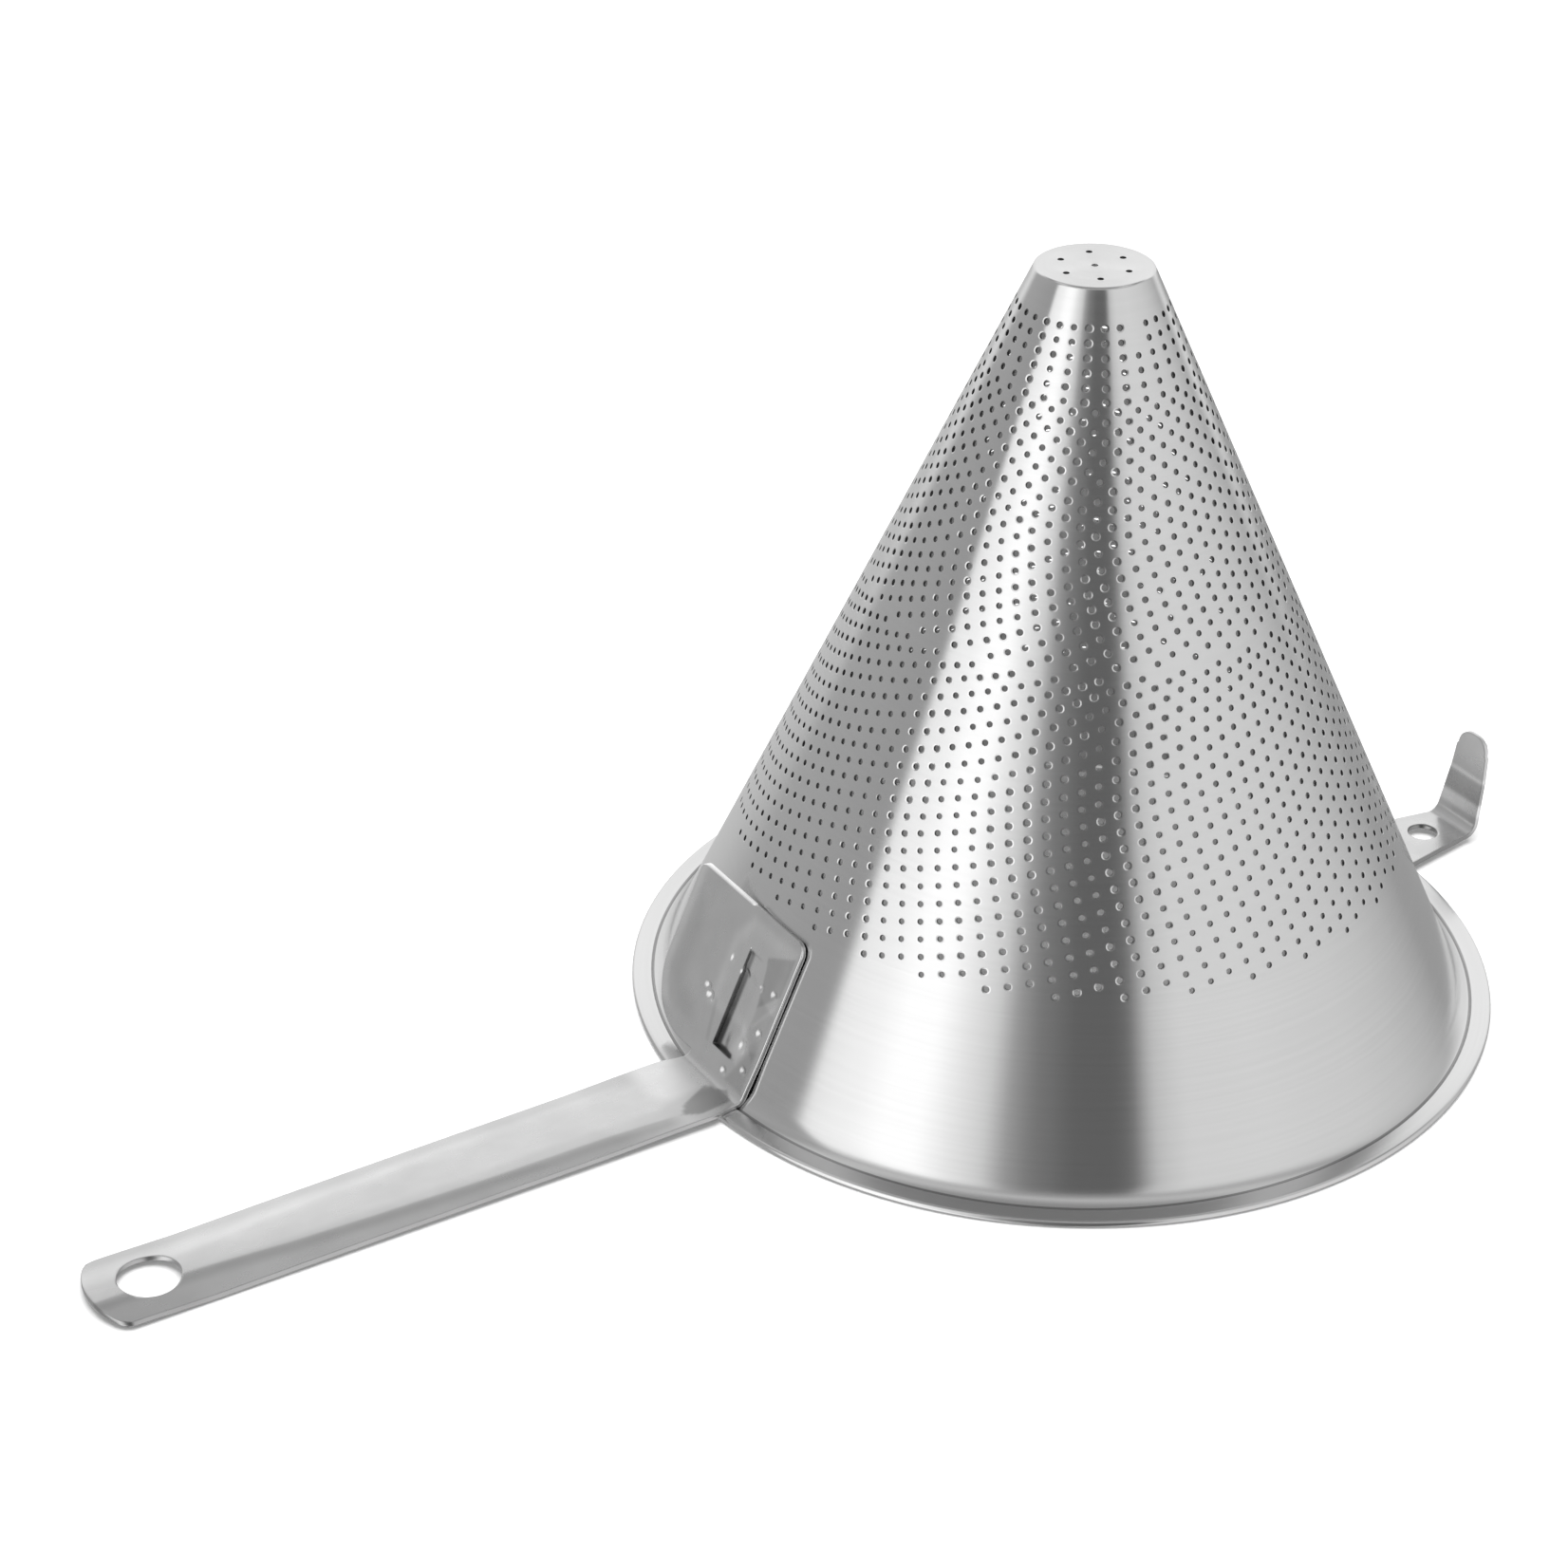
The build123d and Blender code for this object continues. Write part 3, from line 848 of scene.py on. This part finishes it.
def handle_tone(along, across):
    """How bright the steel is painted: a lighter pad round the tongue with a painted highlight at its
    border, patches of painted shade and highlights on the tab, painted shade in the tongue's cut, a painted
    dark reflection at the strip's root beside the tab's foot with a painted highlight on the rest of the
    root, and painted light and shade along the strip, which is darker towards its end."""
    rise = along - bend_length + tab_low
    reach = bend_reach - along
    on_strip = ramp_to(reach, *strip_run)
    pad = facet(across, rise, pad_corners, pad_soft)
    border = pad * (1 - facet(across, rise, inside_corners, inside_soft))
    tone = 1 + pad_gain * pad + border_painted_highlight * border
    for gain, soft, corners in painted_shade_and_highlight_patches:
        tone = tone + gain * facet(across, rise, corners, soft)
    tone = tone - shade_gain * tongue_shade(across, rise)
    tone = tone - root_painted_reflection * facet(reach, across, root_corners, root_soft)
    tone = tone * (1 - end_darkening * ramp_to(reach, *end_run))
    tone = tone + wing_tone(across, rise) + on_strip * strip_tone(reach, across)
    root = (1 - on_strip) * (1 - ramp_to(across, *root_run)) * (along < 0)
    return np.clip(tone + root_painted_highlight * root, *tone_limits)


# How bright the cut edges are: on the strip, and how much more on the tab and on the tab's level top, both
# painted highlights, and less on the rest of its top, painted shade
strip_edge, tab_edge, top_edge, wall_edge = 0.8, 0.4, 0.1, 0.55
top_edge_rise, wall_edge_end = (-4, -3), (10, 13)


def handle_edge(along, across):
    """How bright the cut edges are: a painted highlight on the tab's edges, brightest on its level top,
    painted shade on the rest of its top, where they face the wall, and darker along the strip."""
    rise = along - bend_length + tab_low
    top = ramp_to(rise - tab_top, *top_edge_rise)
    facing = between(across, top_end, wall_edge_end)
    return strip_edge + tab_edge * ramp_to(along, 0, bend_length) + top * (top_edge - wall_edge * facing)


def coons(first, last, left, right):
    """A grid between four edge curves: the sum of the two straight blends of opposite edges, less
    the blend of the four corners."""
    rows, columns = len(left), len(first)
    down, over = np.linspace(0, 1, rows)[:, None, None], np.linspace(0, 1, columns)[None, :, None]
    ends = (1 - down) * first[None] + down * last[None]
    sides = (1 - over) * left[:, None] + over * right[:, None]
    low = (1 - over) * first[0] + over * first[-1]
    high = (1 - over) * last[0] + over * last[-1]
    return ends + sides - (1 - down) * low - down * high


def spaced(points, count):
    """Points at even steps along a line of straight runs, given by its own close points."""
    points = np.array(points, dtype=float)
    along = np.concatenate([[0], np.cumsum(np.hypot(*np.diff(points, axis=0).T))])
    steps = np.linspace(0, along[-1], count)
    return stacked(np.interp(steps, along, points[:, 0]), np.interp(steps, along, points[:, 1]))


def even_steps(start, *legs):
    """Values from a start through the end of each leg, by the leg's number of even steps."""
    runs = [[start]]
    for end, count in legs:
        runs.append(np.linspace(runs[-1][-1], end, count + 1)[1:])
    return np.concatenate(runs)


class Blank:
    """A flat sheet blank, kept as patches of points along and across it until it is folded."""

    def __init__(self):
        self.points, self.faces, self.count = [], [], 0

    def add(self, grid, closed=False, keep=None):
        """One patch: a grid of points, with some of its faces left out."""
        faces = grid_faces(grid.shape[0], grid.shape[1], closed)
        faces = faces.reshape(-1, 4) if keep is None else faces[keep]
        self.points.append(grid.reshape(-1, 2))
        self.faces.append(faces + self.count)
        self.count += grid.shape[0] * grid.shape[1]

    def add_pierced(self, grid, rows, half, centre, radius, rings):
        """A grid with a round hole in the block of faces between two rows and half its width either
        side of the middle: rings that change evenly from the block's edge to the hole's circle, once
        round the way that the grid faces."""
        columns = np.flatnonzero(abs(grid[rows[0], :, 1]) <= half)
        kept = np.ones((grid.shape[0] - 1, grid.shape[1] - 1), dtype=bool)
        kept[rows[0]:rows[1], columns[0]:columns[-1]] = False
        self.add(grid, keep=kept)
        block = grid[rows[0]:rows[1] + 1, columns[0]:columns[-1] + 1]
        edge = np.concatenate([block[0, :-1], block[:-1, -1], block[-1, :0:-1], block[:0:-1, 0]])
        angle = np.arctan2(edge[:, 1] - centre[1], edge[:, 0] - centre[0])
        circle = np.array(centre) + radius * stacked(np.cos(angle), np.sin(angle))
        share = np.linspace(0, 1, rings)[:, None, None]
        self.add((1 - share) * edge[None] + share * circle[None], closed=True)

    def add_rounded(self, row, far, near, steps):
        """The patch between a grid's first row and an end with two round corners, each given by its
        middle and its radius. The patch's sides end halfway round the corners."""
        end = spaced(arc_points(*far, -45, 0) + arc_points(*near, 0, 45), len(row))
        far_side = spaced(arc_points(*far, -45, -90) + [row[0]], steps)
        near_side = spaced(arc_points(*near, 45, 90) + [row[-1]], steps)
        self.add(coons(end, row, far_side, near_side))

    def fold(self, name, place, thickness, relief, tone, edge_tone, material):
        """The solid sheet: its outer face with the relief, its plain inner face, and the cut edges
        between them, each rounded off in two steps towards both faces."""
        points, faces = np.concatenate(self.points), np.concatenate(self.faces)
        first, found = one_of_each(points, blank_step)
        points, faces = points[first], found[faces]
        start, end = faces.ravel(), np.roll(faces, -1, axis=1).ravel()
        width = len(points)
        open_edge = ~np.isin(start * width + end, end * width + start)
        start, end = start[open_edge], end[open_edge]
        run = points[end] - points[start]
        side = stacked(-run[:, 1], run[:, 0]) / np.hypot(*run.T)[:, None]
        normal = np.zeros((width, 2))
        np.add.at(normal, start, side)
        np.add.at(normal, end, side)
        border = np.unique(start)
        normal[border] /= np.maximum((normal[border] ** 2).sum(axis=1, keepdims=True) / 2, 0.5)
        inset = points.copy()
        inset[border] -= edge_round * normal[border]
        layers = [(inset, 0)]
        rounds = [(points[border] - back * edge_round * normal[border], under * edge_round)
                  for back, under in ((round_share, round_share), (0, 1))]
        layers += rounds + [(flat, thickness - depth) for flat, depth in rounds[::-1]]
        layers.append((inset, thickness))
        # The cut edges' brightness, painted light and shade included, scales the tone on the rounded edges
        shine = edge_tone(points[border, 0], points[border, 1])
        painted_edge_light = np.concatenate([np.ones(width), shine, shine, shine, shine, np.ones(width)])
        solid = []
        for flat, depth in layers:
            dip = relief(flat[:, 0], flat[:, 1]) if depth == 0 else 0
            solid.append(place(flat[:, 0], flat[:, 1], depth + dip))
        spot = np.zeros(width, dtype=int)
        spot[border] = np.arange(len(border))
        rows = [np.arange(width)] + [width + layer * len(border) + spot for layer in range(4)]
        rows.append(width + 4 * len(border) + np.arange(width))
        quads = [faces, faces[:, ::-1] + width + 4 * len(border)]
        for upper, lower in zip(rows, rows[1:]):
            quads.append(np.stack([upper[end], upper[start], lower[start], lower[end]], axis=-1))
        flats = np.concatenate([flat for flat, _ in layers])
        return steel_piece(name, np.concatenate(solid), np.concatenate(quads), handle_crease, material,
                           "POINT", painted_edge_light * tone(flats[:, 0], flats[:, 1]))


def own_place(tree, surface):
    """The place for a finish with no direction: the object's own."""
    return add_node(tree, "TexCoord").outputs["Object"]


handle_steel = brushed_steel(
    "brushed_handle_steel", {}, own_place, strength=0.12, height=0.00004,
    rough=((70, 110, 110), 4, 0.25, 0.31), tint=((90, 130, 130), 5, 0.675, 0.725),
    scratch=((200, 260, 260), 3, 0, 1))

# The blank's main grid runs from under the tab's top, past the tongue's foot, round the bend and
# down the strip to its end. Its columns and rows step over the tongue's cut.
hole_rows = 18
tab_line = tab_top - top_block
wing_centre = tab_low + wing_round
across_marks = even_steps(-tab_near, (cut_side[0], 21), (cut_side[1], 1), (tab_near, 56))
tab_rows = even_steps(tab_line, (cut_foot[1], 97), (cut_foot[0], 1), (tab_low, 17))
block_reach = handle_reach - hanging_inset - hanging_block
strip_reaches = even_steps(bend_reach, (block_reach, 119), (handle_reach - end_block, hole_rows))
along_marks = np.concatenate([
    to_tab(tab_rows), even_steps(bend_length, (0, 8))[1:], bend_reach - strip_reaches[1:]])
corner_reach = handle_reach - end_arc + math.sqrt(end_arc**2 - strip_end_half**2)


def strip_half(reach):
    """Half the strip's width: it tapers to its end, and narrows to the tab's width at the bend."""
    line = np.interp(reach, (bend_reach, corner_reach), (strip_root_half, strip_end_half))
    return tab_near + (line - tab_near) * ramp_to(reach, bend_reach, bend_reach + strip_taper)


halves = strip_half(bend_reach - along_marks)[:, None] * across_marks / tab_near
main = stacked(along_marks[:, None], halves)
hole_end = len(along_marks) - 1
hanging_hole = (bend_reach - handle_reach + hanging_inset, 0)
blank = Blank()
blank.add_pierced(main, (hole_end - hole_rows, hole_end), hanging_block, hanging_hole, hanging_radius, 6)

wing_columns = 34
wing_first = stacked(to_tab(tab_line), np.linspace(-tab_far, -tab_near, wing_columns))
wing_middle = (to_tab(wing_centre), wing_round - tab_far)
wing_side = [wing_first[0], (to_tab(wing_centre), -tab_far)] + arc_points(wing_middle, wing_round, 270, 225)
wing_foot = arc_points(wing_middle, wing_round, 225, 180) + [(to_tab(tab_low), -tab_near)]
blank.add(coons(wing_first, spaced(wing_foot, wing_columns), spaced(wing_side, len(tab_rows)),
                main[:len(tab_rows), 0]))

far_middle = (to_tab(tab_top - far_corner), far_corner - tab_far)
near_middle = (to_tab(tab_top - near_corner), tab_near - near_corner)
blank.add_rounded(np.concatenate([wing_first[:-1], main[0]]), (far_middle, far_corner),
                  (near_middle, near_corner), 15)

fillet_across = strip_end_half - end_corner
fillet_reach = handle_reach - end_arc + math.sqrt((end_arc - end_corner) ** 2 - fillet_across**2)
fillet_turn = math.degrees(math.asin(fillet_across / (end_arc - end_corner)))
end_middle = (bend_reach - handle_reach + end_arc, 0)
half_turn = (90 + fillet_turn) / 2


def end_fillet(side, start, end):
    """Close points round one corner of the strip's end, by angles from the strip's own direction."""
    centre = (bend_reach - fillet_reach, side * fillet_across)
    return arc_points(centre, end_corner, 180 - side * start, 180 - side * end)


end_line = (end_fillet(-1, half_turn, fillet_turn)
            + arc_points(end_middle, end_arc, 180 + fillet_turn, 180 - fillet_turn)
            + end_fillet(1, fillet_turn, half_turn))
end_left = spaced([main[-1, 0]] + end_fillet(-1, 90, half_turn), 12)
end_right = spaced([main[-1, -1]] + end_fillet(1, 90, half_turn), 12)
blank.add(coons(main[-1], spaced(end_line, len(across_marks)), end_left, end_right))

handle = blank.fold("folded_handle", folded, handle_sheet, tab_relief, handle_tone, handle_edge,
                    handle_steel)
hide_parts("handle")
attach(handle, "root")

# The hook: a tapered strip of the same steel, welded on the flange opposite the handle and turned up
# at its end with a slight knee, so that the strainer can rest across a pot.
hook_sheet = 1.5
hook_clearance = 0.3
hook_root = foot_corner + foot_round * math.tan(turn_back / 2) + hook_clearance
hook_root_half = 13.2
hook_bend_half = 8.4
hook_tip_half = 5.8
hook_bend_reach = rim_radius + 27.0
hook_bend_round = 5.0
hook_knee_height = 17.0
hook_knee_round = 12.0
hook_low_lean = math.radians(10.0)
hook_high_lean = math.radians(5.5)
hook_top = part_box("hook")[1].z / mm
hook_tip_corner = 4.8
hook_tip_block = 5.6
hook_hole_radius = 4.3
hook_hole_reach = rim_radius + 13.4
hook_hole_block = 5.6
hook_turn = math.pi / 2 - hook_low_lean
hook_knee_turn = hook_low_lean - hook_high_lean
hook_level = hook_bend_reach - hook_bend_round * math.tan(hook_turn / 2)
hook_rise = (hook_knee_height / math.cos(hook_low_lean) - hook_bend_round * math.tan(hook_turn / 2)
             - hook_knee_round * math.tan(hook_knee_turn / 2))
hook_bend_length = (hook_bend_round - hook_sheet) * hook_turn
hook_knee_start = hook_bend_length + hook_rise
hook_knee_length = (hook_knee_round - hook_sheet) * hook_knee_turn


def hook_path(along, depth):
    """The reach and height of the hook's sheet from the distance along its upper face past the bend's
    start and the depth under that face: level, a bend, a lean, the knee, and a steeper lean. Each
    run adds its own length times its direction, and each round its radius times the change of sine."""
    on_level = np.minimum(along, 0)
    in_bend = np.clip(along, 0, hook_bend_length)
    on_low = np.clip(along - hook_bend_length, 0, hook_rise)
    in_knee = np.clip(along - hook_knee_start, 0, hook_knee_length)
    on_high = np.maximum(along - hook_knee_start - hook_knee_length, 0)
    bend, knee = hook_bend_round - hook_sheet, hook_knee_round - hook_sheet
    turn = in_bend / bend + in_knee / knee
    full = hook_turn + hook_knee_turn
    reach = (hook_level + on_level + bend * np.sin(in_bend / bend) + on_low * np.cos(hook_turn)
             + knee * (np.sin(hook_turn + in_knee / knee) - np.sin(hook_turn)) + on_high * np.cos(full))
    height = (hem_height + hook_sheet + bend * (1 - np.cos(in_bend / bend)) + on_low * np.sin(hook_turn)
              + knee * (np.cos(hook_turn) - np.cos(hook_turn + in_knee / knee)) + on_high * np.sin(full))
    return reach + depth * np.sin(turn), height - depth * np.cos(turn)


def bent_hook(along, across, depth):
    """The point of the bent hook, from the blank's distances and a depth under its upper face."""
    reach, height = hook_path(along, depth)
    return stacked(reach, -across, height)


def hook_half(along):
    """Half the hook's width: a straight taper to the bend, then one with the height to the tip."""
    _, height = hook_path(along, 0)
    level = np.interp(along, (hook_root - hook_level, 0), (hook_root_half, hook_bend_half))
    turned = np.interp(height, (hem_height + hook_sheet, hook_top), (hook_bend_half, hook_tip_half))
    return np.where(along < 0, level, turned)


def no_relief(along, across):
    """A face without pressed forms."""
    return 0 * along


# Painted light and shade on the hook between two heights: painted shade under the knee, a painted highlight
# along the knee, and painted light just above the bend. Each has a gain, where it starts and where it ends.
hook_painted_bands = ((-0.3, (11.0, 12.5), (17.6, 18.4)), (0.2, (18.3, 18.8), (19.2, 19.8)),
              (0.35, (7.0, 8.5), (10.5, 12.0)))
# The hook's cut edges: painted shade that darkens them on the flange, and how much lighter they are on the
# upright
hook_edge_painted_shade, hook_edge_gain = 0.42, 0.6


def hook_tone(along, across):
    """The hook's painted light and shade, by its height."""
    _, height = hook_path(along, 0)
    return 1 + sum(gain * between(height, start, end) for gain, start, end in hook_painted_bands)


def hook_edge(along, across):
    """How bright the hook's cut edges are: painted darker on the flange, painted shade, and lighter on the
    upright.
    """
    return hook_edge_painted_shade + hook_edge_gain * ramp_to(along, 0, hook_bend_length)


hook_high_start = hook_knee_start + hook_knee_length
hook_rest = hook_top - hook_path(np.array(hook_high_start), 0)[1]
hook_end = hook_high_start + hook_rest / math.sin(hook_turn + hook_knee_turn)
hook_marks = np.linspace(-1, 1, 33)
hook_block_start = hook_hole_reach - hook_level - hook_hole_block
hook_block_end = hook_block_start + 2 * hook_hole_block
hook_main_reach = 119.0
hook_hole_rows = 14
hook_root_rows = 9
hook_rows = even_steps(
    hook_end - hook_tip_block, (hook_high_start, 11), (hook_knee_start, 3), (hook_bend_length, 19), (0, 13),
    (hook_block_end, 4), (hook_block_start, hook_hole_rows), (hook_main_reach - hook_level, hook_root_rows))
hook_main = stacked(hook_rows[:, None], hook_half(hook_rows)[:, None] * hook_marks)
hook_hole_end = len(hook_rows) - 1 - hook_root_rows
hook_blank = Blank()
hook_blank.add_pierced(hook_main, (hook_hole_end - hook_hole_rows, hook_hole_end), hook_hole_block,
                       (hook_hole_reach - hook_level, 0), hook_hole_radius, 5)

root_across = hook_root_half * hook_marks
root_edge = stacked(np.sqrt(hook_root**2 - root_across**2) - hook_level, root_across)
root_left = np.linspace(hook_main[-1, 0], root_edge[0], 8)
root_right = np.linspace(hook_main[-1, -1], root_edge[-1], 8)
hook_blank.add(coons(hook_main[-1], root_edge, root_left, root_right))

tip_across = hook_tip_half - hook_tip_corner
tip_along = hook_end - hook_tip_corner
hook_blank.add_rounded(hook_main[0], ((tip_along, -tip_across), hook_tip_corner),
                       ((tip_along, tip_across), hook_tip_corner), 10)

hook = hook_blank.fold("bent_hook", bent_hook, hook_sheet, no_relief, hook_tone, hook_edge, handle_steel)
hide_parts("hook")
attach(hook, "root")
